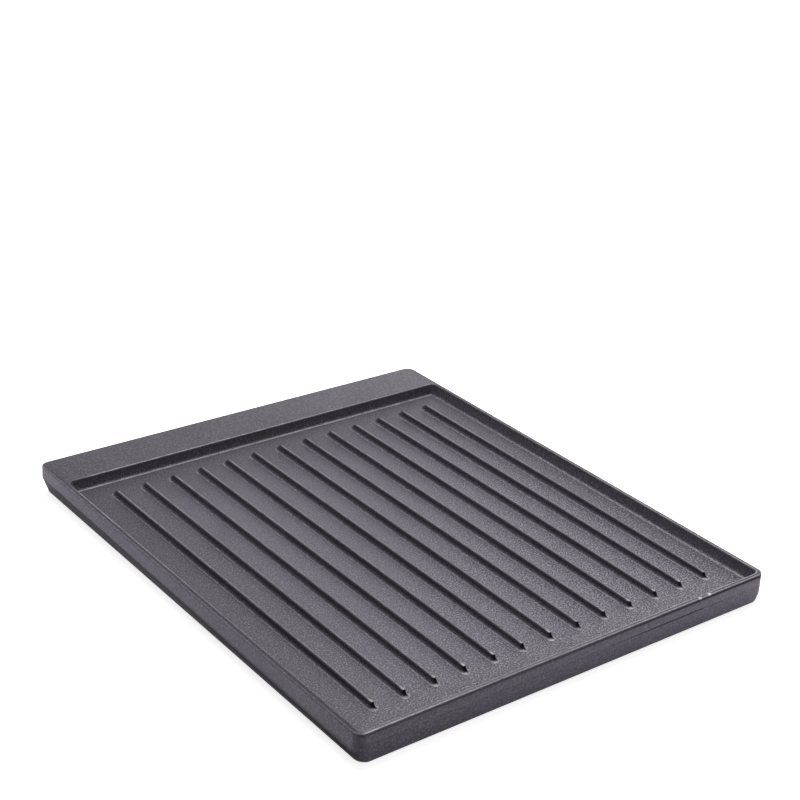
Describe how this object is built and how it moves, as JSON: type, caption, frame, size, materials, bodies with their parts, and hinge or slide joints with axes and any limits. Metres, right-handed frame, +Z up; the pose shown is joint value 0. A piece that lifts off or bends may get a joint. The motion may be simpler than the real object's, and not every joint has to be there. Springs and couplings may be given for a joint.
{
  "type": "griddle plate",
  "caption": "Free-standing coated iron griddle plate: a low-rimmed rectangular tray with a flat ledge along the back and a row of raised sear ribs for cooking over a camp stove.",
  "frame": {"origin": "middle of the underside, level with the surface that the skirt rests on", "axes": "X across the width, +Y along the length towards the ledge, +Z up out of the tray"},
  "size_m": [0.3, 0.35, 0.0185],
  "materials": {
    "coated_iron": "matt black baked coating over a fine sand-cast grain"
  },
  "bodies": {
    "root": {"plate_casting": "coated_iron", "sear_rib_01": "coated_iron", "sear_rib_02": "coated_iron", "sear_rib_03": "coated_iron", "sear_rib_04": "coated_iron", "sear_rib_05": "coated_iron", "sear_rib_06": "coated_iron", "sear_rib_07": "coated_iron", "sear_rib_08": "coated_iron", "sear_rib_09": "coated_iron", "sear_rib_10": "coated_iron", "sear_rib_11": "coated_iron", "sear_rib_12": "coated_iron", "sear_rib_13": "coated_iron"}
  },
  "joints": []
}
